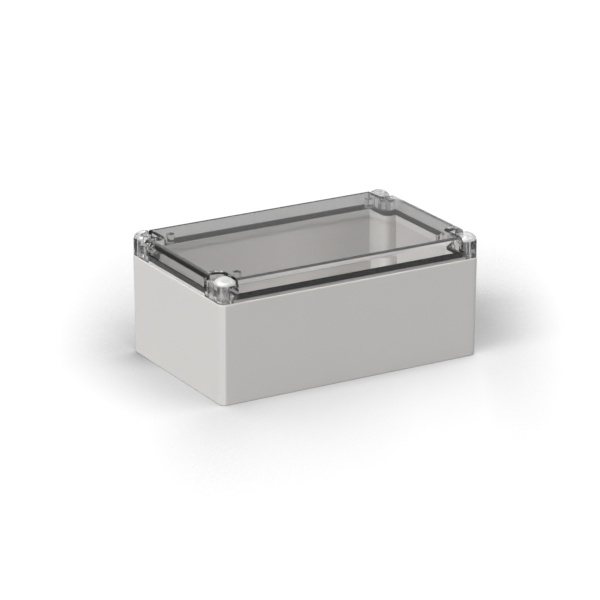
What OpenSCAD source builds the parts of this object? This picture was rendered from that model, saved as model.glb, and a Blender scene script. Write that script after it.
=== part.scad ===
// Moulded wall box with a clear lift-off cover, a seal and four captive quarter-turn locks.
// Millimetres, +Z up. The origin is the centre of the underside, X runs along the length.

/* [Base] */
// Outside length of the box at its rim
box_length = 192; // [150:1:300]
// Outside depth of the box at its rim
box_depth = 121; // [100:1:200]
// Height of the rim shelf that the cover's skirt meets
base_height = 67.2; // [40:0.1:120]
// Radius of the upright outside corners
corner_radius = 4.5; // [4.4:0.1:8]
// Wall thickness at the rim
wall = 4.4; // [4:0.1:5]
// Floor thickness
floor_thickness = 3; // [2:0.1:5]
// How much smaller each side is at the underside than at the rim
draft = 0.5; // [0:0.1:1]
// Rounding of the bottom edge
bottom_rounding = 0.8; // [0.2:0.1:1.5]
// Rounding of the outer rim edge
rim_rounding = 1.1; // [0.2:0.1:1.4]

/* [Rim] */
// Inset of the tongue's outer face from the outside wall
tongue_inset = 2.3; // [2:0.1:2.6]
// Thickness of the tongue that presses on the seal
tongue_thickness = 2.9; // [2.3:0.1:3]
// Height of the tongue above the rim shelf
tongue_height = 1.7; // [1:0.1:4]
// Depth of the bead round the mouth below the rim shelf
bead_depth = 2.5; // [1:0.1:4]

/* [Corner columns] */
// Reach of a column from the outside short wall
column_x = 12.6; // [12.4:0.1:15]
// Reach of a column from the outside long wall
column_y = 24.9; // [23:0.1:30]
// Rounding of a column's free corner
column_rounding = 4.5; // [3:0.1:6]

/* [Cover] */
// Height of the cover's flat top above the rim shelf
cover_height = 15.2; // [12:0.1:30]
// Thickness of the flat top
cover_plate = 2; // [1.6:0.1:3]
// Wall thickness of the cover
cover_wall = 4.4; // [4:0.1:5]
// Rounding of the cover's top edge
cover_edge = 4; // [2:0.1:4.1]
// Inset of the cover's outside from the base's outside
cover_inset = 0.3; // [0.1:0.1:0.5]
// Gap between the rim shelf and the cover's skirt
parting_gap = 0.2; // [0.1:0.05:0.5]
// Running gap between the skirt and the tongue
skirt_gap = 0.3; // [0.2:0.05:0.5]
// Reach of a corner pocket from the outside short wall
pocket_x = 12.7; // [12.5:0.1:15]
// Reach of a corner pocket from the outside long wall
pocket_y = 19; // [18:0.1:22]
// Rounding of a pocket's inner corner
pocket_rounding = 5; // [2:0.1:6]
// Depth of a corner pocket below the flat top
pocket_depth = 3.4; // [2:0.1:4]
// Wall round a corner pocket, inside the cover
pocket_wall = 1.6; // [1.4:0.1:3]
// Radius of the clear pegs under the flat top
peg_r = 2.8; // [1.5:0.1:4]
// Length of a peg
peg_height = 6; // [1:0.1:7]
// Inset of the pegs from the outside short wall
peg_inset_x = 20.5; // [18.5:0.5:30]
// Inset of the pegs from the outside long wall
peg_inset_y = 16; // [12:0.5:30]

/* [Seal] */
// Height of the seal between the tongue and the cover's wall
seal_height = 3.5; // [2:0.1:5]
// Width of the seal strip
seal_width = 2.6; // [2:0.1:2.7]

/* [Locks] */
// Inset of a lock's axis from both outside walls
lock_inset = 6.8; // [6.8:0.1:7]
// Radius of a lock's head
head_r = 6.9; // [5:0.1:7]
// Height of the head's upright edge below the dome
head_flange = 1.1; // [0.6:0.1:2]
// Distance from the lock's axis to the flat face that cuts the dome in half
head_cut = 0.8; // [0.2:0.1:1]
// Radius of the flat hub in front of that face
hub_r = 4; // [3:0.1:4.5]
// Height of the hub
hub_height = 1.3; // [1:0.1:2]
// Height of the half dome above its upright edge
dome_height = 3.6; // [2:0.1:4]
// Width of the driver slot in the hub, at the foot of the half dome
slot_width = 1.6; // [1:0.1:2.4]
// Depth of the driver slot
slot_depth = 0.7; // [0.4:0.1:0.9]
// Radius of the shank
shank_r = 2; // [1.8:0.1:2.1]
// Radial clearance of the shank in the cover
shank_clearance = 0.1; // [0.05:0.01:0.15]
// Reach of the bayonet lugs from the axis
lug_reach = 3.6; // [3.2:0.1:3.8]
// Width of a lug
lug_width = 2.4; // [1.8:0.1:3]
// Height of a lug
lug_height = 2.2; // [1.5:0.1:4]
// Running gap round the lugs
lug_gap = 0.25; // [0.15:0.05:0.4]
// Thickness of the base's ledge that the lugs turn under
lock_ledge = 3; // [2:0.1:5]
// Gap between the head and the pocket floor
head_gap = 0.1; // [0.05:0.05:0.3]
// Depth of the clip's groove in the shank
clip_groove = 0.5; // [0.3:0.05:0.8]
// Outer radius of the retaining clip
clip_r = 2.6; // [2.4:0.1:2.7]
// Thickness of the retaining clip
clip_thickness = 1; // [0.6:0.1:1.2]
// Depth of the clip's seat in the cover's underside
clip_seat = 2; // [1.8:0.1:3]
// Opening angle of the retaining clip
clip_opening = 70; // [40:5:120]

/* [Fixings] */
// Radius of a wall-fixing hole
fixing_hole_r = 2.15; // [1.5:0.05:2.6]
// Radius of the well that takes a wall-fixing screw's head
fixing_well_r = 3.3; // [3:0.1:3.6]
// Inset of the wall-fixing holes from the outside long wall
fixing_inset_y = 17.2; // [15:0.1:18]
// Thickness left under a wall-fixing screw's head
fixing_seat = 5; // [3:0.5:10]
// Spacing of the floor bosses along the length
boss_pitch_x = 150; // [60:1:155]
// Spacing of the floor bosses along the depth
boss_pitch_y = 80; // [30:1:85]
// Spacing of the two rail bosses along the length
rail_pitch = 110; // [40:1:130]
// Outer radius of a floor boss
boss_r = 3.6; // [2.6:0.1:5]
// Height of a floor boss above the floor
boss_height = 6; // [3:0.5:15]
// Radius of a boss's pilot hole
pilot_r = 1.45; // [0.8:0.05:2]
// Depth of a boss's pilot hole
pilot_depth = 5; // [2:0.5:8]

/* [Hidden] */
CORNERS = [[-1, -1], [1, -1], [-1, 1], [1, 1]];

$fn = 64;
shell_fn = 32;
slice = 0.01;
over = 1;
clip_play = 0.05;
groove_gap = 0.05;
head_side_gap = 0.05;

mouth_inset = tongue_inset + tongue_thickness;
bead_bottom = base_height - bead_depth;
tongue_top = base_height + tongue_height;
seal_top = tongue_top + seal_height;
skirt_bottom = base_height + parting_gap;
skirt_inset = tongue_inset - skirt_gap;
cover_top = base_height + cover_height;
cover_ceiling = cover_top - cover_plate;
cavity_inset = cover_inset + cover_wall;
pocket_floor = cover_top - pocket_depth;
head_bottom = pocket_floor + head_gap;
head_flange_top = head_bottom + head_flange;
head_side = lock_inset - cover_inset - head_side_gap;
hub_top = head_bottom + hub_height;
dome_top = head_flange_top + dome_height;
dome_r = (head_r * head_r + dome_height * dome_height) / (2 * dome_height);
ledge_bottom = base_height - lock_ledge;
lug_top = ledge_bottom - lug_gap;
lug_bottom = lug_top - lug_height;
clip_bottom = skirt_bottom + (clip_seat - clip_thickness) / 2;
clip_inner_r = shank_r - clip_groove;
lock_well_r = lug_reach + lug_gap;

// Rectangle with rounded corners
module rounded_rect(length, depth, r) {
    union() {
        square([length - 2 * r, depth], center = true);
        square([length, depth - 2 * r], center = true);
        for (c = CORNERS)
            translate([c.x * (length / 2 - r), c.y * (depth / 2 - r)]) circle(r);
    }
}

// Area at one corner of the box, out to x and y from its outside walls, with a round inner corner
module corner_area(c, x, y, r) {
    flip_x = c.x > 0 ? 1 : 0;
    flip_y = c.y > 0 ? 1 : 0;
    translate([c.x * box_length / 2, c.y * box_depth / 2])
        mirror([flip_x, 0]) mirror([0, flip_y])
            union() {
                translate([-over, -over]) square([x - r + over, y + over]);
                translate([-over, -over]) square([x + over, y - r + over]);
                translate([x - r, y - r]) circle(r);
            }
}

// Rectangle inset from the outside walls, less the four corner areas
module notched(inset, x, y, r) {
    difference() {
        square([box_length - 2 * inset, box_depth - 2 * inset], center = true);
        for (c = CORNERS)
            corner_area(c, x, y, r);
    }
}

// Line that runs along the walls and round the columns, at an inset from the outside
module rim_line(inset) {
    grow = inset - wall;
    notched(inset, column_x + grow, column_y + grow, column_rounding + grow);
}

// Thin slice of the box's outside at a height
module outside_slice(inset, z) {
    translate([0, 0, z])
        linear_extrude(slice)
            rounded_rect(
                box_length - 2 * inset,
                box_depth - 2 * inset,
                corner_radius - inset,
                $fn = shell_fn
            );
}

// Places children on the lock axis of a corner
module at_lock(c) {
    translate([c.x * (box_length / 2 - lock_inset), c.y * (box_depth / 2 - lock_inset), 0])
        children();
}

// Places children on the wall-fixing axis of a corner
module at_fixing(c) {
    translate([c.x * (box_length / 2 - lock_inset), c.y * (box_depth / 2 - fixing_inset_y), 0])
        children();
}

module base_outside() {
    hull() {
        for (a = [0 : 30 : 90]) {
            outside_slice(draft + bottom_rounding * (1 - sin(a)), bottom_rounding * (1 - cos(a)));
            outside_slice(rim_rounding * (1 - cos(a)), base_height - slice - rim_rounding * (1 - sin(a)));
        }
    }
}

module floor_boss(x, y) {
    top = floor_thickness + boss_height;
    translate([x, y, 0])
        difference() {
            translate([0, 0, floor_thickness - over]) cylinder(r = boss_r, h = boss_height + over);
            translate([0, 0, top - pilot_depth]) cylinder(r = pilot_r, h = pilot_depth + over);
        }
}

// Keyhole through the base's ledge and the well that the lugs turn in, open at the underside
module lock_socket() {
    translate([0, 0, -over]) cylinder(r = lock_well_r, h = ledge_bottom + over);
    translate([0, 0, ledge_bottom - over]) cylinder(r = shank_r + lug_gap, h = lock_ledge + 2 * over);
    translate([-lug_width / 2 - lug_gap, -lock_well_r, ledge_bottom - over])
        cube([lug_width + 2 * lug_gap, 2 * lock_well_r, lock_ledge + 2 * over]);
}

module base_box() {
    color("gainsboro")
        union() {
            difference() {
                union() {
                    base_outside();
                    translate([0, 0, base_height - over])
                        linear_extrude(tongue_height + over) rim_line(tongue_inset);
                }
                translate([0, 0, floor_thickness])
                    linear_extrude(bead_bottom - floor_thickness) rim_line(wall);
                translate([0, 0, bead_bottom - over])
                    linear_extrude(tongue_top) rim_line(mouth_inset);
                for (c = CORNERS) {
                    at_lock(c) lock_socket();
                    at_fixing(c) {
                        translate([0, 0, -over]) cylinder(r = fixing_hole_r, h = fixing_seat + 2 * over);
                        translate([0, 0, fixing_seat]) cylinder(r = fixing_well_r, h = base_height);
                    }
                }
            }
            for (c = CORNERS)
                floor_boss(c.x * boss_pitch_x / 2, c.y * boss_pitch_y / 2);
            for (side = [-1, 1])
                floor_boss(side * rail_pitch / 2, 0);
        }
}

module cover_outside() {
    hull() {
        outside_slice(cover_inset, skirt_bottom);
        for (a = [0 : 15 : 90])
            outside_slice(
                cover_inset + cover_edge * (1 - cos(a)),
                cover_top - slice - cover_edge * (1 - sin(a))
            );
    }
}

module cover() {
    post_x = pocket_x + pocket_wall;
    post_y = column_y + cavity_inset - wall;
    post_rounding = pocket_rounding + pocket_wall;
    color([0.85, 0.88, 0.9, 0.35])
        union() {
            difference() {
                cover_outside();
                translate([0, 0, skirt_bottom - over])
                    linear_extrude(seal_top - skirt_bottom + over) rim_line(skirt_inset);
                translate([0, 0, seal_top - over])
                    linear_extrude(cover_ceiling - seal_top + over)
                        notched(cavity_inset, post_x, post_y, post_rounding);
                translate([0, 0, pocket_floor])
                    linear_extrude(pocket_depth + over)
                        for (c = CORNERS)
                            corner_area(c, pocket_x, pocket_y, pocket_rounding);
                for (c = CORNERS) {
                    at_lock(c) {
                        translate([0, 0, skirt_bottom])
                            cylinder(r = shank_r + shank_clearance, h = cover_height);
                        translate([0, 0, skirt_bottom - over])
                            cylinder(r = clip_r + lug_gap, h = clip_seat + over);
                    }
                    at_fixing(c)
                        translate([0, 0, skirt_bottom - over])
                            cylinder(r = fixing_well_r, h = pocket_floor - pocket_wall - skirt_bottom + over);
                }
            }
            for (c = CORNERS)
                translate([c.x * (box_length / 2 - peg_inset_x), c.y * (box_depth / 2 - peg_inset_y), 0])
                    translate([0, 0, cover_ceiling - peg_height]) cylinder(r = peg_r, h = peg_height + slice);
        }
}

module cover_seal() {
    outer = skirt_inset + groove_gap;
    color([0.12, 0.12, 0.12])
        translate([0, 0, tongue_top])
            linear_extrude(seal_height)
                difference() {
                    rim_line(outer);
                    rim_line(outer + seal_width);
                }
}

// Half-domed head that fills the box's corner, flush with both walls, with +X pointing out of the box
module lock_head() {
    reach = head_r + over;
    side_turn = 45;
    difference() {
        union() {
            difference() {
                intersection() {
                    translate([0, 0, head_bottom]) cylinder(r = head_r, h = head_flange + dome_height + over);
                    translate([0, 0, dome_top - dome_r]) sphere(dome_r);
                    rotate(side_turn)
                        translate([-reach, -head_side, head_bottom - over])
                            cube([reach + head_side, reach + head_side, dome_top - head_bottom + 2 * over]);
                }
                translate([-reach, -reach, head_bottom - over])
                    cube([reach - head_cut, 2 * reach, dome_top - head_bottom + 2 * over]);
            }
            translate([0, 0, head_bottom]) cylinder(r = hub_r, h = hub_height);
        }
        translate([-head_cut - slot_width, -reach, hub_top - slot_depth])
            cube([slot_width, 2 * reach, slot_depth + over]);
    }
}

// Shank with a groove for the clip
module lock_shank() {
    difference() {
        translate([0, 0, lug_bottom])
            cylinder(r = shank_r, h = head_bottom - lug_bottom + slice);
        translate([0, 0, clip_bottom - groove_gap])
            difference() {
                cylinder(r = shank_r + over, h = clip_thickness + 2 * groove_gap);
                translate([0, 0, -over]) cylinder(r = clip_inner_r, h = clip_thickness + 3 * over);
            }
    }
}

// Quarter-turn lock, with its two bayonet lugs in line with the keyhole
module lock(c) {
    color([0.93, 0.94, 0.95, 0.6])
        at_lock(c)
            union() {
                rotate(atan2(c.y, c.x)) lock_head();
                lock_shank();
                translate([0, 0, lug_bottom])
                    linear_extrude(lug_height)
                        intersection() {
                            circle(lug_reach);
                            square([lug_width, 2 * lug_reach], center = true);
                        }
            }
}

// Open spring clip in the shank's groove, which keeps the lock in the cover
module clip(c) {
    color("dimgray")
        at_lock(c)
            translate([0, 0, clip_bottom])
                rotate([0, 0, atan2(c.y, c.x) + clip_opening / 2])
                    rotate_extrude(angle = 360 - clip_opening)
                        translate([clip_inner_r + clip_play, 0])
                            square([clip_r - clip_inner_r - clip_play, clip_thickness]);
}

base_box();
cover();
cover_seal();
lock(CORNERS[0]);  // lock_front_left
lock(CORNERS[1]);  // lock_front_right
lock(CORNERS[2]);  // lock_back_left
lock(CORNERS[3]);  // lock_back_right
clip(CORNERS[0]);  // clip_front_left
clip(CORNERS[1]);  // clip_front_right
clip(CORNERS[2]);  // clip_back_left
clip(CORNERS[3]);  // clip_back_right
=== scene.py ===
import math

import bmesh
import bpy
from mathutils import Matrix, Vector


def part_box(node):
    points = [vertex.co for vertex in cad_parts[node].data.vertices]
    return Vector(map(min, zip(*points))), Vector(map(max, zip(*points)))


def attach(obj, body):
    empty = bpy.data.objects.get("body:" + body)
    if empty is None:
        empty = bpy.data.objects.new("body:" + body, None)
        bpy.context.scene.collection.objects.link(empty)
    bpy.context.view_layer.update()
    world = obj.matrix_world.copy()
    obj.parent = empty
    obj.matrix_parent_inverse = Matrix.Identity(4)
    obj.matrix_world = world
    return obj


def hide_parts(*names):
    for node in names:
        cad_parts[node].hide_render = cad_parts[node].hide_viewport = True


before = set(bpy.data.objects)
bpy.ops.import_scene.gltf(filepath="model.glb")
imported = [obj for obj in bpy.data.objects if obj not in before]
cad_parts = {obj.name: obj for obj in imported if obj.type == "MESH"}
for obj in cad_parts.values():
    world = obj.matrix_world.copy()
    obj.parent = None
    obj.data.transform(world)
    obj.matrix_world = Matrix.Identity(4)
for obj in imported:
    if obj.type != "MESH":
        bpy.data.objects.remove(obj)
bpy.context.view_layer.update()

# Sizes, in metres. The outer ones are read from the parts in model.glb.

MM = 0.001
base_low, base_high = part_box("base_box")
cover_low, cover_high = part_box("cover")
seal_low, seal_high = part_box("cover_seal")

# Base

LENGTH = base_high.x - base_low.x
DEPTH = base_high.y - base_low.y
TONGUE_TOP = seal_low.z
TONGUE_HEIGHT = 1.7 * MM
RIM = TONGUE_TOP - TONGUE_HEIGHT
CORNER_RADIUS = 4.5 * MM
WALL = 4.4 * MM
FLOOR = 3 * MM
DRAFT = 0.5 * MM
BOTTOM_ROUNDING = 0.8 * MM
RIM_ROUNDING = 1.1 * MM
TONGUE_INSET = 2.3 * MM
TONGUE_THICKNESS = 2.9 * MM
BEAD_DEPTH = 2.5 * MM
COLUMN_X = 12.6 * MM
COLUMN_Y = 24.9 * MM
COLUMN_ROUNDING = 4.5 * MM
FIXING_HOLE_R = 2.15 * MM
FIXING_WELL_R = 3.3 * MM
FIXING_INSET_Y = 17.2 * MM
FIXING_SEAT = 5 * MM
BOSS_PITCH_X = 150 * MM
BOSS_PITCH_Y = 80 * MM
RAIL_PITCH = 110 * MM
BOSS_R = 3.6 * MM
BOSS_HEIGHT = 6 * MM
PILOT_R = 1.45 * MM
PILOT_DEPTH = 5 * MM

# Cover

SKIRT_BOTTOM = cover_low.z
COVER_TOP = cover_high.z
SEAL_TOP = seal_high.z
COVER_INSET = 0.3 * MM
COVER_WALL = 4.4 * MM
COVER_PLATE = 2 * MM
COVER_EDGE = 4 * MM
SKIRT_GAP = 0.3 * MM
POCKET_X = 12.7 * MM
POCKET_Y = 19 * MM
POCKET_ROUNDING = 5 * MM
POCKET_DEPTH = 3.4 * MM
POCKET_WALL = 1.6 * MM
PEG_R = 2.8 * MM
PEG_HEIGHT = 6 * MM
PEG_INSET_X = 20.5 * MM
PEG_INSET_Y = 16 * MM

# Locks and clips

LOCK_INSET = 6.8 * MM
LOCK_LEDGE = 3 * MM
HEAD_R = 6.9 * MM
HEAD_SIDE_GAP = 0.05 * MM
HEAD_SIDE = LOCK_INSET - COVER_INSET - HEAD_SIDE_GAP
HEAD_GAP = 0.1 * MM
HEAD_FLANGE = 1.1 * MM
HEAD_CUT = 0.8 * MM
DIAGONAL = math.radians(45)
DOME_HEIGHT = 3.6 * MM
HUB_R = 4 * MM
HUB_HEIGHT = 1.3 * MM
SLOT_WIDTH = 1.6 * MM
SLOT_DEPTH = 0.7 * MM
SHANK_R = 2 * MM
SHANK_CLEARANCE = 0.1 * MM
SHANK_INTO_HEAD = SLOT_DEPTH / 4
LUG_REACH = 3.6 * MM
LUG_WIDTH = 2.4 * MM
LUG_HEIGHT = 2.2 * MM
LUG_GAP = 0.25 * MM
CLIP_R = 2.6 * MM
CLIP_THICKNESS = 1 * MM
CLIP_GROOVE = 0.5 * MM
CLIP_SEAT = 2 * MM
GROOVE_GAP = 0.05 * MM

# Mesh fineness. OVER lets a cutter reach past a face, NUDGE keeps two faces from coinciding.

OVER = 1 * MM
NUDGE = 0.02 * MM
LEVEL_TOLERANCE = 0.1 * MM
MERGE_DISTANCE = 0.001 * MM
SLIVER = 0.002 * MM
ROUND_SEGMENTS = 64
CORNER_SEGMENTS = 16
EDGE_SEGMENTS = 16
RIM_SEGMENTS = 4
SOFT_EDGE = 0.2 * MM
SOFT_EDGE_SEGMENTS = 2
SMOOTH_ANGLE = math.radians(32)

CORNERS = {
    "front_left": (-1, -1),
    "front_right": (1, -1),
    "back_left": (-1, 1),
    "back_right": (1, 1),
}

# Camera, in the photograph's square frame

CAMERA_AZIMUTH = math.radians(-30.22)
CAMERA_ELEVATION = math.radians(19.18)
CAMERA_DISTANCE = 2.2096
CAMERA_SHIFT_RIGHT = -0.0032
CAMERA_SHIFT_UP = 0.0345
CAMERA_LENS = 201.74
CAMERA_SENSOR = 36
CAMERA_CLIP = (0.05, 60)

# Light: a dim even sky, brighter overhead in glass, and one broad lamp from the left

SKY_LOW = 0.72
SKY_RISE = -0.15
SKY_IN_GLASS = 1.3
SKY_IN_GLASS_LOW = 0.28
SKY_IN_GLASS_HEIGHTS = (0.4, 0.75)
KEY_STRENGTH = 1.95
KEY_SPREAD = math.radians(35)
KEY_ELEVATION = math.radians(48)
KEY_TURN = math.radians(10)

# Floor: its levels for the camera, for glass, for mirrors and for bounced light

FLOOR_HALF = 12
FLOOR_WHITE = 1.03
FLOOR_GLOW = 0.88
FLOOR_BOUNCE = 0.73
FLOOR_IN_GLASS = 0.505
FLOOR_IN_GLOSS = 0.15
FLOOR_ROUGHNESS = 0.9

# Soft shadow: the power that the floor's occlusion is raised to, which grows towards the back right

SHADE = 1.1
SHADE_REACH = 0.2
SHADE_SAMPLES = 8
SHADE_SLANT = 0.6
SHADE_GROWTH = 0.09
SHADE_LEAST = 0.68
SHADE_LIMIT = 3.0
SHADE_LIMIT_SLOPE = 12.0
SHADE_LIMIT_RANGE = (2.2, 4.6)

# The shadow's outline leans with the direction of view, and each side has its own width and growth

VIEW_LEAN = -math.tan(CAMERA_AZIMUTH)
LEFT_WIDTH = 80 * MM
LEFT_GROWTH = 15.0
RIGHT_WIDTH = 87 * MM
RIGHT_GROWTH = 30.0
FRONT_SHADE_POWER = 0.5
FRONT_BLEND = (-20 * MM, 15 * MM)
FRONT_GROWTH = 5.3
FRONT_GROWTH_SLOPE = -115.0
FRONT_CORNER_SHADE = 0.5
FRONT_CORNER_WIDTH = 25 * MM
BACK_CORNER_SHADE = 0.6
BACK_CORNER_OUT = (4 * MM, 9.5 * MM)
BACK_CORNER_WIDTH = 30 * MM
BEHIND_SHADE = 1.2
BEHIND_BLEND = 70 * MM

# Light-grey plastic, with painted light on the round front left corner and painted light and shade
# inside the box

GREY_TONES = ((0.585, 0.57, 0.555), (0.605, 0.59, 0.575))
GREY_CLOUD_SCALE = 18.0
GREY_GRAIN_SCALE = 2600.0
GREY_GRAIN_HEIGHT = 0.03 * MM
GREY_GRAIN_STRENGTH = 0.25
GREY_ROUGHNESS = 0.42
GREY_ROUGHNESS_SPREAD = 0.12
GREY_INDEX = 1.54
# Painted light: a lighter grey on the round front left corner, strongest where the lamp's light
# falls off
CORNER_PAINTED_LIGHT = (0.952, 0.928, 0.904)
CORNER_PAINTED_LIGHT_REACH = CORNER_RADIUS * 0.75
CORNER_PAINTED_LIGHT_GAIN = 0.6
KEY_OVER_SKY = 0.58
INNER_FACE = WALL * 0.9
INNER_WALL_FACE = WALL * 1.02
INNER_FLOOR_LOW = FLOOR * 0.9
INNER_FLOOR_HIGH = FLOOR * 1.2
# Painted shade: darker grey deep in the box, fading out towards the rim
DEEP_SHADE_TONE = (0.2, 0.195, 0.19)
DEEP_SHADE_SHARE = 0.35
DEEP_SHADE_TOP = 32 * MM
# Painted shade on the box's floor, darkest near the front, where it shows through the cover's front
# edge
FRONT_FLOOR_SHADE_SHARE = 0.62
FRONT_FLOOR_SHADE_FADE = (58 * MM, 15 * MM)
# Painted light and shade on the inner back wall: lighter to the left, darker towards the right-hand
# column
BACK_WALL_LIGHT_AND_SHADE_TONES = ((0.54, 0.525, 0.51), (0.75, 0.73, 0.715))
BACK_WALL_LIGHT_AND_SHADE_FADE = (15 * MM, 78 * MM)
# Painted shade on the inner right end wall
END_WALL_SHADE_TONE = (0.51, 0.497, 0.484)

# Clear plastic: lock heads with painted reflection, haze in the cover's corners, a painted
# highlight at the right-hand pockets' edges and painted light along the left top edge

CLEAR_INDEX = 1.585
COVER_TINT = (0.96, 0.956, 0.954)
LOCK_TINT = (0.97, 0.97, 0.97)
LAMP_THROUGH = (1.0, 1.0, 1.0)
RIPPLE_SCALE = 60.0
RIPPLE_HEIGHT = 0.1 * MM
RIPPLE_STRENGTH = 0.02
DUST_SCALE = 900.0
DUST_ROUGHNESS = 0.03
# Whitish tone for haze, painted light and painted reflection
HAZE_AND_PAINTED_LIGHT_TONES = ((0.84, 0.84, 0.845), (0.9, 0.9, 0.905))
HAZE_AND_PAINTED_LIGHT_ROUGHNESS = 0.15
# Painted reflection: lock heads milky white for the bright sky reflected in them, more at the front
HEAD_PAINTED_REFLECTION_FRONT = 0.6
HEAD_PAINTED_REFLECTION_BACK = 0.2
CORNER_HAZE = 0.05
# Painted light: a whitish line along the cover's left top edge
LEFT_EDGE_PAINTED_LIGHT = 0.16
LEFT_EDGE_INSET = 3.4 * MM
LEFT_EDGE_WIDTH = 0.9 * MM
# Painted highlight: a whitish spot at the edge of each right-hand pocket
POCKET_EDGE_PAINTED_HIGHLIGHT = 0.4
POCKET_EDGE_WIDTH = 4.5 * MM
POCKET_EDGE_INSET_X = 2.5 * MM
POCKET_EDGE_INSET_Y = 20 * MM
POCKET_EDGE_DROP = 1.4 * MM

# Seal rubber and clip steel

RUBBER_TONES = ((0.008, 0.008, 0.008), (0.022, 0.021, 0.02))
RUBBER_CELL_SCALE = 3000.0
RUBBER_CELL_HEIGHT = 0.08 * MM
RUBBER_CELL_STRENGTH = 0.5
RUBBER_ROUGHNESS = 0.6
RUBBER_ROUGHNESS_SPREAD = 0.2
RUBBER_SPECULAR = 0.2
STEEL_TONES = ((0.42, 0.42, 0.43), (0.58, 0.58, 0.59))
STEEL_MARK_SCALE = 1500.0
STEEL_ROUGHNESS = 0.25
STEEL_ROUGHNESS_SPREAD = 0.2

# Detail of the noise patterns: plain, of fine grain and of smooth ripples

PLAIN_DETAIL = 2.0
GRAIN_DETAIL = 3.0
RIPPLE_DETAIL = 1.0


# Mesh making

def new_object(name, bm):
    """Turns a bmesh into an object of the scene."""
    mesh = bpy.data.meshes.new(name)
    bm.to_mesh(mesh)
    bm.free()
    obj = bpy.data.objects.new(name, mesh)
    bpy.context.scene.collection.objects.link(obj)
    return obj


def bevel_edges(bm, edges, offset, segments):
    bmesh.ops.bevel(
        bm, geom=edges, offset=offset, offset_type="OFFSET", segments=segments,
        profile=0.5, affect="EDGES", material=-1, clamp_overlap=True,
    )


def block(name, low, high):
    """Plain block between two corners."""
    bm = bmesh.new()
    low, high = Vector(low), Vector(high)
    bmesh.ops.create_cube(bm, size=1)
    bmesh.ops.scale(bm, vec=high - low, verts=bm.verts)
    bmesh.ops.translate(bm, vec=(low + high) / 2, verts=bm.verts)
    return new_object(name, bm)


def rounded_block(name, half_x, half_y, low, high, corner, draft, foot_edge, top_edge, segments):
    """Block with round upright corners, narrower at its foot, with rounded foot and top edges."""
    bm = bmesh.new()
    bmesh.ops.create_cube(bm, size=1)
    bmesh.ops.scale(bm, vec=(2 * half_x, 2 * half_y, high - low), verts=bm.verts)
    bmesh.ops.translate(bm, vec=(0, 0, (high + low) / 2), verts=bm.verts)
    uprights = [e for e in bm.edges if abs(e.verts[0].co.z - e.verts[1].co.z) > OVER]
    bevel_edges(bm, uprights, corner, CORNER_SEGMENTS)
    foot = [v for v in bm.verts if v.co.z < low + LEVEL_TOLERANCE]
    bmesh.ops.scale(bm, vec=(1 - draft / half_x, 1 - draft / half_y, 1), verts=foot)
    for level, width in ((low, foot_edge), (high, top_edge)):
        if width:
            ring = [
                e for e in bm.edges
                if all(abs(v.co.z - level) < LEVEL_TOLERANCE for v in e.verts)
            ]
            bevel_edges(bm, ring, width, segments)
    return new_object(name, bm)


def prism(name, outline, low, high):
    """Upright prism on an outline of (x, y, rounding radius) corners."""
    bm = bmesh.new()
    verts = [bm.verts.new((x, y, low)) for x, y, _ in outline]
    bm.faces.new(verts)
    for vert, (_, _, radius) in zip(verts, outline):
        if radius:
            bmesh.ops.bevel(
                bm, geom=[vert], offset=radius, offset_type="OFFSET", segments=EDGE_SEGMENTS,
                profile=0.5, affect="VERTICES", material=-1, clamp_overlap=False,
            )
    raised = bmesh.ops.extrude_face_region(bm, geom=bm.faces[:])["geom"]
    top = [g for g in raised if isinstance(g, bmesh.types.BMVert)]
    bmesh.ops.translate(bm, vec=(0, 0, high - low), verts=top)
    bmesh.ops.recalc_face_normals(bm, faces=bm.faces)
    return new_object(name, bm)


def round_bar(name, place, radius, low, high):
    """Upright cylinder at a place (x, y)."""
    bm = bmesh.new()
    bmesh.ops.create_cone(
        bm, cap_ends=True, segments=ROUND_SEGMENTS,
        radius1=radius, radius2=radius, depth=high - low,
    )
    bmesh.ops.translate(bm, vec=(*place, (high + low) / 2), verts=bm.verts)
    return new_object(name, bm)


def notched_outline(inset, x, y, radius):
    """Corners of a rectangle inset from the outside walls, with the corner areas taken out."""
    points = []
    half_x, half_y = LENGTH / 2, DEPTH / 2
    for sx, sy in ((-1, -1), (1, -1), (1, 1), (-1, 1)):
        corner = [
            (sx * (half_x - inset), sy * (half_y - y), 0),
            (sx * (half_x - x), sy * (half_y - y), radius),
            (sx * (half_x - x), sy * (half_y - inset), 0),
        ]
        points += corner if sx * sy > 0 else corner[::-1]
    return points


def rim_outline(inset):
    """Line along the walls and round the columns."""
    grow = inset - WALL
    return notched_outline(inset, COLUMN_X + grow, COLUMN_Y + grow, COLUMN_ROUNDING + grow)


def corner_outline(sx, sy, x, y, radius):
    """Corner area of the box, out past its outside walls, with a round inner corner."""
    half_x, half_y = LENGTH / 2, DEPTH / 2
    return [
        (sx * (half_x + OVER), sy * (half_y + OVER), 0),
        (sx * (half_x - x), sy * (half_y + OVER), 0),
        (sx * (half_x - x), sy * (half_y - y), radius),
        (sx * (half_x + OVER), sy * (half_y - y), 0),
    ]


def inset_place(corner, inset_x, inset_y):
    """Place (x, y) at a distance from the two outside walls of a corner."""
    sx, sy = CORNERS[corner]
    return sx * (LENGTH / 2 - inset_x), sy * (DEPTH / 2 - inset_y)


def lock_place(corner):
    return inset_place(corner, LOCK_INSET, LOCK_INSET)


def fixing_place(corner):
    return inset_place(corner, LOCK_INSET, FIXING_INSET_Y)


def combine(obj, others, operation):
    """Adds other solids to a solid, or cuts them out of it, and removes them."""
    for other in others:
        step = obj.modifiers.new("step", "BOOLEAN")
        step.object = other
        step.operation = operation
        step.solver = "EXACT"
    bpy.context.view_layer.update()
    evaluated = obj.evaluated_get(bpy.context.evaluated_depsgraph_get())
    whole = bpy.data.meshes.new_from_object(evaluated)
    old = obj.data
    obj.modifiers.clear()
    obj.data = whole
    bpy.data.meshes.remove(old)
    for other in others:
        bpy.data.meshes.remove(other.data)
    return obj


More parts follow.
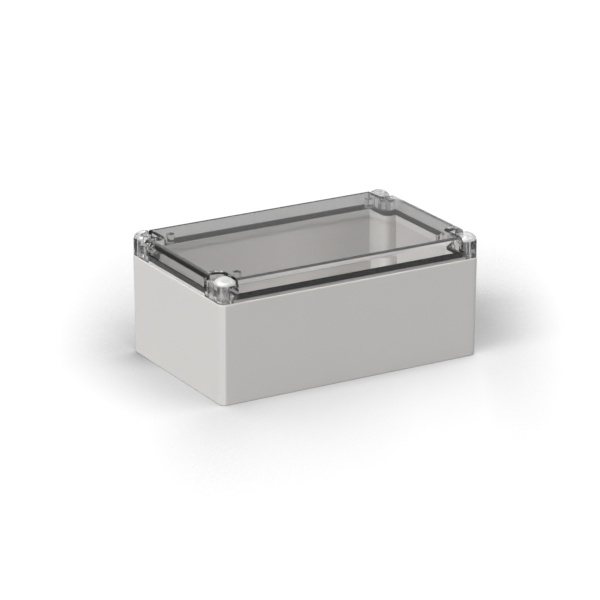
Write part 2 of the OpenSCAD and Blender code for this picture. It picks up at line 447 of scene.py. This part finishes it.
def finish_surface(obj):
    """Smooth shading up to an angle, with a fine round on the sharp edges."""
    bm = bmesh.new()
    bm.from_mesh(obj.data)
    bmesh.ops.remove_doubles(bm, verts=bm.verts, dist=MERGE_DISTANCE)
    bmesh.ops.dissolve_degenerate(bm, edges=bm.edges, dist=SLIVER)
    large = [face for face in bm.faces if len(face.verts) > 4]
    bmesh.ops.triangulate(bm, faces=large, quad_method="BEAUTY", ngon_method="EAR_CLIP")
    for face in bm.faces:
        face.smooth = True
    for edge in bm.edges:
        edge.smooth = edge.is_manifold and edge.calc_face_angle(0) < SMOOTH_ANGLE
    bm.to_mesh(obj.data)
    bm.free()
    rounding = obj.modifiers.new("soft_edge", "BEVEL")
    rounding.width = SOFT_EDGE
    rounding.segments = SOFT_EDGE_SEGMENTS
    rounding.limit_method = "ANGLE"
    rounding.angle_limit = SMOOTH_ANGLE
    rounding.miter_outer = "MITER_ARC"
    rounding.use_clamp_overlap = True
    weights = obj.modifiers.new("flat_faces", "WEIGHTED_NORMAL")
    weights.keep_sharp = True
    return obj


# Pieces

def make_base():
    """Open box with a tongue round its mouth, corner columns with wells, and floor bosses."""
    shell = rounded_block(
        "base_shell", LENGTH / 2, DEPTH / 2, 0, RIM,
        CORNER_RADIUS, DRAFT, BOTTOM_ROUNDING, RIM_ROUNDING, RIM_SEGMENTS,
    )
    tongue = prism("tongue", rim_outline(TONGUE_INSET), RIM - OVER, TONGUE_TOP)
    bead_low = RIM - BEAD_DEPTH
    mouth = rim_outline(TONGUE_INSET + TONGUE_THICKNESS)
    cut = [
        prism("cavity", rim_outline(WALL), FLOOR, bead_low),
        prism("mouth", mouth, bead_low - OVER, TONGUE_TOP + OVER),
    ]
    well_r = LUG_REACH + LUG_GAP
    slot_half = LUG_WIDTH / 2 + LUG_GAP
    ledge_low = RIM - LOCK_LEDGE
    top = RIM + OVER
    for corner in CORNERS:
        x, y = lock_place(corner)
        fixing = fixing_place(corner)
        slot_low = (x - slot_half, y - well_r, ledge_low - OVER)
        cut += [
            round_bar("lock_well", (x, y), well_r, -OVER, ledge_low),
            round_bar("keyhole", (x, y), SHANK_R + LUG_GAP, ledge_low - OVER, top),
            block("key_slot", slot_low, (x + slot_half, y + well_r, top)),
            round_bar("fixing_hole", fixing, FIXING_HOLE_R, -OVER, FIXING_SEAT + OVER),
            round_bar("fixing_well", fixing, FIXING_WELL_R, FIXING_SEAT, top),
        ]
    combine(shell, [tongue], "UNION")
    combine(shell, cut, "DIFFERENCE")

    places = [(sx * BOSS_PITCH_X / 2, sy * BOSS_PITCH_Y / 2) for sx, sy in CORNERS.values()]
    places += [(-RAIL_PITCH / 2, 0), (RAIL_PITCH / 2, 0)]
    boss_top = FLOOR + BOSS_HEIGHT
    pilot_low = boss_top - PILOT_DEPTH
    bosses = [round_bar("boss", place, BOSS_R, FLOOR - OVER, boss_top) for place in places]
    combine(shell, bosses, "UNION")
    pilots = [round_bar("pilot", place, PILOT_R, pilot_low, boss_top + OVER) for place in places]
    combine(shell, pilots, "DIFFERENCE")
    return finish_surface(shell)


def make_cover():
    """Clear cover with a pocket at each corner, pegs under its top and a rabbet for the seal."""
    shell = rounded_block(
        "clear_cover", LENGTH / 2 - COVER_INSET, DEPTH / 2 - COVER_INSET, SKIRT_BOTTOM, COVER_TOP,
        CORNER_RADIUS - COVER_INSET, 0, 0, COVER_EDGE, EDGE_SEGMENTS,
    )
    cavity_inset = COVER_INSET + COVER_WALL
    pocket_floor = COVER_TOP - POCKET_DEPTH
    ceiling = COVER_TOP - COVER_PLATE
    posts = notched_outline(
        cavity_inset, POCKET_X + POCKET_WALL, COLUMN_Y + cavity_inset - WALL,
        POCKET_ROUNDING + POCKET_WALL,
    )
    recess = prism("recess", posts, SEAL_TOP - OVER, ceiling)
    pegs = []
    for corner in CORNERS:
        place = inset_place(corner, PEG_INSET_X, PEG_INSET_Y)
        pegs.append(round_bar("peg", place, PEG_R, ceiling - PEG_HEIGHT, ceiling + OVER))
    combine(recess, pegs, "DIFFERENCE")

    rabbet = rim_outline(TONGUE_INSET - SKIRT_GAP)
    below = SKIRT_BOTTOM - OVER
    cut = [prism("seal_rabbet", rabbet, below, SEAL_TOP), recess]
    for corner, (sx, sy) in CORNERS.items():
        lock, fixing = lock_place(corner), fixing_place(corner)
        area = corner_outline(sx, sy, POCKET_X, POCKET_Y, POCKET_ROUNDING)
        cut += [
            prism("pocket", area, pocket_floor, COVER_TOP + OVER),
            round_bar("shank_bore", lock, SHANK_R + SHANK_CLEARANCE, SKIRT_BOTTOM, COVER_TOP),
            round_bar("clip_seat", lock, CLIP_R + LUG_GAP, below, SKIRT_BOTTOM + CLIP_SEAT),
            round_bar("screw_room", fixing, FIXING_WELL_R, below, pocket_floor - POCKET_WALL),
        ]
    combine(shell, cut, "DIFFERENCE")
    return finish_surface(shell)


def make_head(name, head_bottom):
    """Half-domed head, open towards -X, with flats flush with the cover's two outside walls."""
    flange_top = head_bottom + HEAD_FLANGE
    dome_r = (HEAD_R ** 2 + DOME_HEIGHT ** 2) / (2 * DOME_HEIGHT)
    dome_centre = flange_top + DOME_HEIGHT - dome_r
    span = math.asin(HEAD_R / dome_r)
    section = [Vector((0, 0, head_bottom)), Vector((HEAD_R, 0, head_bottom))]
    for i in range(CORNER_SEGMENTS + 1):
        angle = span * (1 - i / CORNER_SEGMENTS)
        height = dome_centre + dome_r * math.cos(angle)
        section.append(Vector((dome_r * math.sin(angle), 0, height)))

    bm = bmesh.new()
    verts = [bm.verts.new(point) for point in section]
    edges = [bm.edges.new(pair) for pair in zip(verts, verts[1:])]
    bmesh.ops.spin(
        bm, geom=verts + edges, cent=(0, 0, 0), axis=(0, 0, 1), angle=2 * math.pi,
        steps=ROUND_SEGMENTS, use_merge=True,
    )
    bmesh.ops.remove_doubles(bm, verts=bm.verts, dist=MERGE_DISTANCE)
    bmesh.ops.recalc_face_normals(bm, faces=bm.faces)
    head = new_object(name, bm)

    reach = HEAD_R + OVER
    below, above = head_bottom - OVER, flange_top + DOME_HEIGHT + OVER
    walls = block("corner_walls", (-reach, -HEAD_SIDE, below), (HEAD_SIDE, reach, above))
    walls.data.transform(Matrix.Rotation(DIAGONAL, 4, "Z"))
    combine(head, [walls], "INTERSECT")
    open_side = block("open_side", (-reach, -reach, below), (-HEAD_CUT, reach, above))
    combine(head, [open_side], "DIFFERENCE")
    hub = round_bar("hub", (0, 0), HUB_R, head_bottom + NUDGE, head_bottom + HUB_HEIGHT)
    combine(head, [hub], "UNION")
    slot_low = (-HEAD_CUT - SLOT_WIDTH, -reach, head_bottom + HUB_HEIGHT - SLOT_DEPTH)
    slot = block("driver_slot", slot_low, (-HEAD_CUT + NUDGE, reach, above))
    return combine(head, [slot], "DIFFERENCE")


def make_shank(head_bottom):
    """Shank with a groove for the clip and two lugs at its foot."""
    axis = (0, 0)
    lug_bottom = RIM - LOCK_LEDGE - LUG_GAP - LUG_HEIGHT
    clip_low = SKIRT_BOTTOM + (CLIP_SEAT - CLIP_THICKNESS) / 2
    clip_high = clip_low + CLIP_THICKNESS
    shank_top = head_bottom + SHANK_INTO_HEAD
    shank = round_bar("shank", axis, SHANK_R, lug_bottom + NUDGE, shank_top)
    groove = round_bar(
        "groove", axis, SHANK_R + OVER, clip_low - GROOVE_GAP, clip_high + GROOVE_GAP,
    )
    core = round_bar("core", axis, SHANK_R - CLIP_GROOVE, clip_low - OVER, clip_low + 2 * OVER)
    combine(groove, [core], "DIFFERENCE")
    combine(shank, [groove], "DIFFERENCE")
    lugs = round_bar("lugs", axis, LUG_REACH, lug_bottom, lug_bottom + LUG_HEIGHT)
    half, reach = LUG_WIDTH / 2, LUG_REACH + OVER
    bar = block("lug_bar", (-half, -reach, lug_bottom - OVER), (half, reach, RIM))
    combine(lugs, [bar], "INTERSECT")
    return combine(shank, [lugs], "UNION")


def make_lock(corner):
    """Quarter-turn lock whose head faces outwards along its corner's diagonal."""
    sx, sy = CORNERS[corner]
    head_bottom = COVER_TOP - POCKET_DEPTH + HEAD_GAP
    lock = make_head("turn_lock_" + corner, head_bottom)
    lock.data.transform(Matrix.Rotation(math.atan2(sy, sx), 4, "Z"))
    combine(lock, [make_shank(head_bottom)], "UNION")
    lock.data.transform(Matrix.Translation((*lock_place(corner), 0)))
    return finish_surface(lock)


# Shader maths

class Field:
    """A number that varies over a surface: a socket whose arithmetic adds Math nodes."""

    def __init__(self, shader, socket):
        self.shader = shader
        self.socket = socket

    def join(self, operation, *values):
        return self.shader.node("ShaderNodeMath", {"operation": operation}, dict(enumerate(values)))

    def __add__(self, other):
        return self.join("ADD", self, other)

    def __sub__(self, other):
        return self.join("SUBTRACT", self, other)

    def __rsub__(self, other):
        return self.join("SUBTRACT", other, self)

    def __mul__(self, other):
        return self.join("MULTIPLY", self, other)

    def __truediv__(self, other):
        return self.join("DIVIDE", self, other)

    def __rtruediv__(self, other):
        return self.join("DIVIDE", other, self)

    def __pow__(self, other):
        return self.join("POWER", self, other)

    def __neg__(self):
        return self.join("MULTIPLY", self, -1.0)

    def __abs__(self):
        return self.join("ABSOLUTE", self)

    def __gt__(self, other):
        return self.join("GREATER_THAN", self, other)

    def __lt__(self, other):
        return self.join("LESS_THAN", self, other)

    __radd__ = __add__
    __rmul__ = __mul__


class Shader:
    """A node tree, filled by one node-making method."""

    def __init__(self, owner):
        owner.use_nodes = True
        self.tree = owner.node_tree
        self.tree.nodes.clear()

    def node(self, kind, settings=None, inputs=None, output=0):
        made = self.tree.nodes.new(kind)
        for key, value in (settings or {}).items():
            setattr(made, key, value)
        for key, value in (inputs or {}).items():
            if isinstance(value, Field):
                self.tree.links.new(value.socket, made.inputs[key])
            else:
                made.inputs[key].default_value = value
        return Field(self, made.outputs[output]) if made.outputs else None


def larger(field, other):
    return field.join("MAXIMUM", field, other)


def smaller(field, other):
    return field.join("MINIMUM", field, other)


def exponential(field):
    return field.join("EXPONENT", field)


def bell(width, first, *others):
    """1 where all the distances are 0, falling off over a width."""
    squares = first * first
    for distance in others:
        squares = squares + distance * distance
    return exponential(squares * (-1 / width ** 2))


def fade(field, start, end, low=0.0, high=1.0):
    """Smooth step from low at the start to high at the end."""
    return field.shader.node("ShaderNodeMapRange", {"interpolation_type": "SMOOTHSTEP"}, {
        0: field, 1: start, 2: end, 3: low, 4: high,
    })


def ray(shader, kind):
    return shader.node("ShaderNodeLightPath", output="Is " + kind + " Ray")


def split(shader, vector):
    return [shader.node("ShaderNodeSeparateXYZ", None, {0: vector}, output=i) for i in range(3)]


def surface_place(shader):
    return split(shader, shader.node("ShaderNodeTexCoord", output="Object"))


def noise(shader, scale, detail=PLAIN_DETAIL):
    place = shader.node("ShaderNodeTexCoord", output="Object")
    return shader.node(
        "ShaderNodeTexNoise", None, {"Vector": place, "Scale": scale, "Detail": detail},
    )


def bump(shader, field, strength, height):
    return shader.node(
        "ShaderNodeBump", None, {"Strength": strength, "Distance": height, "Height": field},
    )


def two_tone(shader, factor, dark, light):
    """Mix of two colours, each a triple of numbers or a colour field."""
    dark, light = (tone if isinstance(tone, Field) else (*tone, 1) for tone in (dark, light))
    return shader.node(
        "ShaderNodeMix", {"data_type": "RGBA"}, {0: factor, 6: dark, 7: light}, output=2,
    )


def grey(shader, level):
    return shader.node("ShaderNodeCombineColor", None, {0: level, 1: level, 2: level})


def material(name, finish):
    """Material with the surface that a finish function builds."""
    made = bpy.data.materials.new(name)
    shader = Shader(made)
    shader.node("ShaderNodeOutputMaterial", None, {"Surface": finish(shader)})
    return made


# Finishes

def corner_painted_light(shader):
    """Share of painted light on the round front left corner: lighter grey that makes up for the
    lamp's light falling off round it, so that it reads as left wall.
    """
    x, y, _ = surface_place(shader)
    nx, ny, _ = split(shader, shader.node("ShaderNodeTexCoord", output="Normal"))
    corner = (x < CORNER_PAINTED_LIGHT_REACH - LENGTH / 2) * (y < CORNER_RADIUS - DEPTH / 2)
    lit = larger(nx * -math.cos(KEY_TURN) - ny * math.sin(KEY_TURN), 0.0)
    gain = (1 + KEY_OVER_SKY * math.cos(KEY_TURN)) / (lit * KEY_OVER_SKY + 1)
    return (gain - 1) / CORNER_PAINTED_LIGHT_GAIN * corner * (nx * nx + ny * ny)


def moulded_grey(shader):
    """Light-grey moulded plastic with a fine spark-eroded grain, painted light on the round front
    left corner and painted light and shade inside the box.
    """
    cloud = noise(shader, GREY_CLOUD_SCALE)
    grain = noise(shader, GREY_GRAIN_SCALE, GRAIN_DETAIL)
    x, y, z = surface_place(shader)
    inner_x = abs(x) < LENGTH / 2 - INNER_FACE
    inner_y = abs(y) < DEPTH / 2 - INNER_FACE
    inner = inner_x * inner_y * (z > INNER_FLOOR_LOW)

    plain = two_tone(shader, cloud, *GREY_TONES)
    # Painted light on the round front left corner
    walls = two_tone(shader, corner_painted_light(shader), plain, CORNER_PAINTED_LIGHT)
    # Painted light and shade on the inner back wall
    painted_back_wall_light_and_shade = two_tone(shader, fade(x, *BACK_WALL_LIGHT_AND_SHADE_FADE, 1.0, 0.0), *BACK_WALL_LIGHT_AND_SHADE_TONES)
    back_wall = (y > DEPTH / 2 - INNER_WALL_FACE) * inner
    walls = two_tone(shader, back_wall, walls, painted_back_wall_light_and_shade)
    # Painted shade on the inner right end wall
    end_wall = (x > LENGTH / 2 - INNER_WALL_FACE) * inner
    walls = two_tone(shader, end_wall, walls, END_WALL_SHADE_TONE)

    # Painted shade: darker deep in the box, and on its floor near the front
    painted_front_floor_shade = fade(y, *FRONT_FLOOR_SHADE_FADE, 0.0, FRONT_FLOOR_SHADE_SHARE) * (z < INNER_FLOOR_HIGH)
    painted_deep_shade = larger(fade(z, DEEP_SHADE_TOP, FLOOR, 0.0, DEEP_SHADE_SHARE), painted_front_floor_shade)
    return shader.node("ShaderNodeBsdfPrincipled", None, {
        "Base Color": two_tone(shader, painted_deep_shade * inner, walls, DEEP_SHADE_TONE),
        "Roughness": grain * GREY_ROUGHNESS_SPREAD + GREY_ROUGHNESS,
        "IOR": GREY_INDEX,
        "Normal": bump(shader, grain, GREY_GRAIN_STRENGTH, GREY_GRAIN_HEIGHT),
    })


def head_painted_reflection(shader):
    """Share of a lock with painted reflection, milky white for the bright sky reflected in it: only
    its head, and more at the front.
    """
    _, y, z = surface_place(shader)
    share = (y < 0.0) * (HEAD_PAINTED_REFLECTION_FRONT - HEAD_PAINTED_REFLECTION_BACK) + HEAD_PAINTED_REFLECTION_BACK
    return (z > COVER_TOP - POCKET_DEPTH) * share


def cover_haze_and_painted_light(shader):
    """Whitish share of the cover: haze in its thick corners, a painted highlight at the right-hand
    pockets' edges and painted light along its left top edge.
    """
    x, y, z = surface_place(shader)
    outer_x = abs(x) > LENGTH / 2 - POCKET_X
    outer_y = abs(y) > DEPTH / 2 - POCKET_Y
    corners = outer_x * outer_y * (z < COVER_TOP - POCKET_DEPTH / 2) * CORNER_HAZE
    # Painted highlight at the right-hand pockets' edges
    pocket_edge_highlight = bell(
        POCKET_EDGE_WIDTH,
        x - (LENGTH / 2 - POCKET_EDGE_INSET_X),
        abs(y) - (DEPTH / 2 - POCKET_EDGE_INSET_Y),
        z - (COVER_TOP - POCKET_EDGE_DROP),
    ) * POCKET_EDGE_PAINTED_HIGHLIGHT
    # Painted light along the cover's left top edge
    left_edge_light = bell(LEFT_EDGE_WIDTH, x + (LENGTH / 2 - LEFT_EDGE_INSET)) * LEFT_EDGE_PAINTED_LIGHT
    on_top = (z > COVER_TOP - COVER_EDGE / 2) * (1 - outer_y)
    return corners + pocket_edge_highlight + left_edge_light * on_top


def clear_plastic(shader, tint, haze_and_painted_light):
    """Polished clear plastic with a whitish share: haze, painted light and painted reflection.
    Lamps shine straight through it.
    """
    ripple = noise(shader, RIPPLE_SCALE, RIPPLE_DETAIL)
    dust = noise(shader, DUST_SCALE)
    glass = shader.node("ShaderNodeBsdfPrincipled", None, {
        "Base Color": (*tint, 1),
        "Roughness": dust * DUST_ROUGHNESS,
        "IOR": CLEAR_INDEX,
        "Transmission Weight": 1.0,
        "Normal": bump(shader, ripple, RIPPLE_STRENGTH, RIPPLE_HEIGHT),
    })
    through = shader.node("ShaderNodeBsdfTransparent", None, {"Color": (*LAMP_THROUGH, 1)})
    # Whitish shader for haze, painted light and painted reflection
    cloud = shader.node("ShaderNodeBsdfPrincipled", None, {
        "Base Color": two_tone(shader, dust, *HAZE_AND_PAINTED_LIGHT_TONES),
        "Roughness": HAZE_AND_PAINTED_LIGHT_ROUGHNESS,
        "IOR": CLEAR_INDEX,
    })
    clear = shader.node("ShaderNodeMixShader", None, {
        0: ray(shader, "Shadow"), 1: glass, 2: through,
    })
    return shader.node("ShaderNodeMixShader", None, {0: haze_and_painted_light, 1: clear, 2: cloud})


def clear_cover_finish(shader):
    return clear_plastic(shader, COVER_TINT, cover_haze_and_painted_light(shader))


def clear_lock_finish(shader):
    return clear_plastic(shader, LOCK_TINT, head_painted_reflection(shader))


def seal_rubber(shader):
    """Matt black foam rubber."""
    cells = noise(shader, RUBBER_CELL_SCALE, GRAIN_DETAIL)
    return shader.node("ShaderNodeBsdfPrincipled", None, {
        "Base Color": two_tone(shader, cells, *RUBBER_TONES),
        "Roughness": cells * RUBBER_ROUGHNESS_SPREAD + RUBBER_ROUGHNESS,
        "Specular IOR Level": RUBBER_SPECULAR,
        "Normal": bump(shader, cells, RUBBER_CELL_STRENGTH, RUBBER_CELL_HEIGHT),
    })


def clip_steel(shader):
    """Spring steel with rolling marks."""
    marks = noise(shader, STEEL_MARK_SCALE, GRAIN_DETAIL)
    return shader.node("ShaderNodeBsdfPrincipled", None, {
        "Base Color": two_tone(shader, marks, *STEEL_TONES),
        "Roughness": marks * STEEL_ROUGHNESS_SPREAD + STEEL_ROUGHNESS,
        "Metallic": 1.0,
    })


def shadow_power(shader):
    """Power of the floor's occlusion at each place: how strong the soft shadow is there."""
    x, y, _ = surface_place(shader)
    towards_back = (y + x * SHADE_SLANT) / SHADE_GROWTH
    limit = larger(x * SHADE_LIMIT_SLOPE + SHADE_LIMIT, SHADE_LIMIT_RANGE[0])
    limit = smaller(limit, SHADE_LIMIT_RANGE[1])
    power = larger(smaller(exponential(towards_back) * SHADE, limit), SHADE_LEAST)

    back_x, back_y = BACK_CORNER_OUT
    back_corner = bell(BACK_CORNER_WIDTH, x + (LENGTH / 2 + back_x), y - (DEPTH / 2 + back_y))
    power = power + back_corner * BACK_CORNER_SHADE

    sideways = x - y * VIEW_LEAN
    within = (LENGTH + DEPTH * VIEW_LEAN) / 2 - abs(sideways)
    behind = fade(smaller(within, x + LENGTH / 2), 0.0, BEHIND_BLEND)
    power = power + (BEHIND_SHADE - power) * behind

    ahead = larger(-y - DEPTH / 2, 0.0)
    past = larger(y - DEPTH / 2, 0.0)
    across = x + (ahead - past) * VIEW_LEAN
    front_corner = bell(FRONT_CORNER_WIDTH, across + LENGTH / 2) * FRONT_CORNER_SHADE
    in_front = fade(-y, DEPTH / 2 + FRONT_BLEND[0], DEPTH / 2 + FRONT_BLEND[1])
    power = power + (front_corner + FRONT_SHADE_POWER - power) * in_front

    to_left = larger(-across - LENGTH / 2, 0.0)
    to_right = larger(x - (y + DEPTH / 2) * VIEW_LEAN - LENGTH / 2, 0.0)
    front_growth = larger(across * FRONT_GROWTH_SLOPE + FRONT_GROWTH, 0.0)
    power = power + ahead * front_growth + to_left * LEFT_GROWTH + to_right * RIGHT_GROWTH
    within_left = fade(to_left, 0.0, LEFT_WIDTH, 1.0, 0.0)
    within_right = fade(to_right, 0.0, RIGHT_WIDTH, 1.0, 0.0)
    return power * within_left * within_right


def studio_floor(shader):
    """White floor that darkens softly round the foot of the box."""
    nearby = shader.node(
        "ShaderNodeAmbientOcclusion", {"samples": SHADE_SAMPLES}, {"Distance": SHADE_REACH},
        output="AO",
    )
    camera = ray(shader, "Camera")
    inside = ray(shader, "Transmission")
    mirrored = ray(shader, "Glossy") * (1 - inside)
    bounced = 1 - camera - inside - mirrored
    seen = camera * (nearby ** shadow_power(shader) * FLOOR_WHITE)
    level = seen * (1 - FLOOR_GLOW) + inside * FLOOR_IN_GLASS
    level = level + mirrored * FLOOR_IN_GLOSS + bounced * FLOOR_BOUNCE
    return shader.node("ShaderNodeBsdfPrincipled", None, {
        "Base Color": grey(shader, level),
        "Roughness": FLOOR_ROUGHNESS,
        "Specular IOR Level": 0.0,
        "Emission Color": grey(shader, seen * FLOOR_GLOW),
        "Emission Strength": 1.0,
    })


def dress(obj, finish):
    obj.data.materials.clear()
    obj.data.materials.append(finish)


# Scene: camera, light, floor

def make_camera():
    a, e = CAMERA_AZIMUTH, CAMERA_ELEVATION
    back = Vector((math.sin(a) * math.cos(e), -math.cos(a) * math.cos(e), math.sin(e)))
    right = Vector((math.cos(a), math.sin(a), 0))
    up = back.cross(right)
    data = bpy.data.cameras.new("camera")
    data.lens = CAMERA_LENS
    data.sensor_width = CAMERA_SENSOR
    data.clip_start, data.clip_end = CAMERA_CLIP
    camera = bpy.data.objects.new("camera", data)
    camera.location = back * CAMERA_DISTANCE + right * CAMERA_SHIFT_RIGHT + up * CAMERA_SHIFT_UP
    camera.rotation_euler = Matrix((right, up, back)).transposed().to_euler()
    bpy.context.scene.collection.objects.link(camera)
    bpy.context.scene.camera = camera


def make_sky():
    world = bpy.data.worlds.new("studio")
    bpy.context.scene.world = world
    shader = Shader(world)
    direction = shader.node("ShaderNodeTexCoord", output="Generated")
    height = larger(split(shader, direction)[2], 0.0)
    in_glass = larger(ray(shader, "Glossy"), ray(shader, "Transmission"))
    open_sky = height * SKY_RISE + SKY_LOW
    glass_sky = fade(height, *SKY_IN_GLASS_HEIGHTS) * SKY_IN_GLASS + SKY_IN_GLASS_LOW
    level = open_sky * (1 - in_glass) + glass_sky * in_glass
    sky = shader.node("ShaderNodeBackground", None, {"Color": (1, 1, 1, 1), "Strength": level})
    shader.node("ShaderNodeOutputWorld", None, {"Surface": sky})


def make_key():
    lamp = bpy.data.lights.new("key", "SUN")
    lamp.energy = KEY_STRENGTH
    lamp.angle = KEY_SPREAD
    key = bpy.data.objects.new("key", lamp)
    flat = math.cos(KEY_ELEVATION)
    toward = Vector((
        -math.cos(KEY_TURN) * flat, -math.sin(KEY_TURN) * flat, math.sin(KEY_ELEVATION),
    ))
    key.rotation_euler = toward.to_track_quat("Z", "Y").to_euler()
    bpy.context.scene.collection.objects.link(key)


def make_floor():
    bm = bmesh.new()
    bmesh.ops.create_grid(bm, x_segments=1, y_segments=1, size=FLOOR_HALF)
    floor = new_object("floor", bm)
    dress(floor, material("studio_floor", studio_floor))


make_camera()
make_sky()
make_key()
make_floor()

base = make_base()
dress(base, material("moulded_grey_plastic", moulded_grey))
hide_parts("base_box")
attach(base, "base")

cover = make_cover()
dress(cover, material("clear_cover_plastic", clear_cover_finish))
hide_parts("cover")
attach(cover, "cover")

lock_plastic = material("clear_lock_plastic", clear_lock_finish)
for corner in CORNERS:
    lock = make_lock(corner)
    dress(lock, lock_plastic)
    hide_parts("lock_" + corner)
    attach(lock, corner + "_lock")

dress(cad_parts["cover_seal"], material("seal_black_rubber", seal_rubber))
spring_steel = material("clip_spring_steel", clip_steel)
for corner in CORNERS:
    dress(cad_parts["clip_" + corner], spring_steel)

bpy.context.scene.view_settings.view_transform = "Standard"
